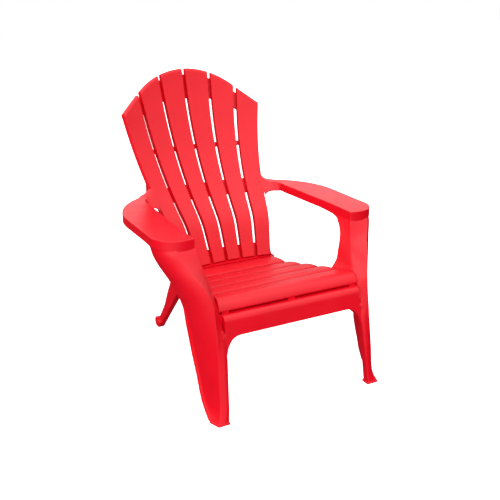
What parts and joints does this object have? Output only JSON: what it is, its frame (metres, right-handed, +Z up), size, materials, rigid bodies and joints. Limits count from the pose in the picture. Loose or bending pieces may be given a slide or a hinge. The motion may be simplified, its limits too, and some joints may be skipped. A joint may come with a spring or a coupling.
{
  "type": "adirondack chair",
  "caption": "Stackable resin adirondack chair: reclined fan back, sloping slatted seat, wide flat arms on curtain-like front legs.",
  "frame": {"origin": "on the ground, under the middle of the chair's footprint box", "axes": "+Z up, +X towards the sitter's left, -Y the way the sitter faces"},
  "size_m": [0.7602, 0.8664, 0.9279],
  "materials": {
    "resin": "satin moulded polypropylene, saturated red"
  },
  "bodies": {
    "root": {"back_slat_1": "resin", "back_slat_2": "resin", "back_slat_3": "resin", "back_slat_4": "resin", "back_slat_5": "resin", "back_slat_6": "resin", "back_crest_web": "resin", "back_upper_web": "resin", "back_middle_web": "resin", "back_lower_web": "resin", "seat_slat_1": "resin", "seat_slat_2": "resin", "seat_slat_3": "resin", "seat_slat_4": "resin", "seat_slat_5": "resin", "seat_back_lip": "resin", "front_apron": "resin", "slot_tab_left": "resin", "slot_tab_centre": "resin", "slot_tab_right": "resin", "seat_rail_left": "resin", "seat_rib_left": "resin", "arm_left": "resin", "front_leg_left": "resin", "rear_leg_left": "resin", "front_foot_left": "resin", "rear_foot_left": "resin", "stacking_lug_left": "resin", "seat_rail_right": "resin", "seat_rib_right": "resin", "arm_right": "resin", "front_leg_right": "resin", "rear_leg_right": "resin", "front_foot_right": "resin", "rear_foot_right": "resin", "stacking_lug_right": "resin"}
  },
  "joints": []
}
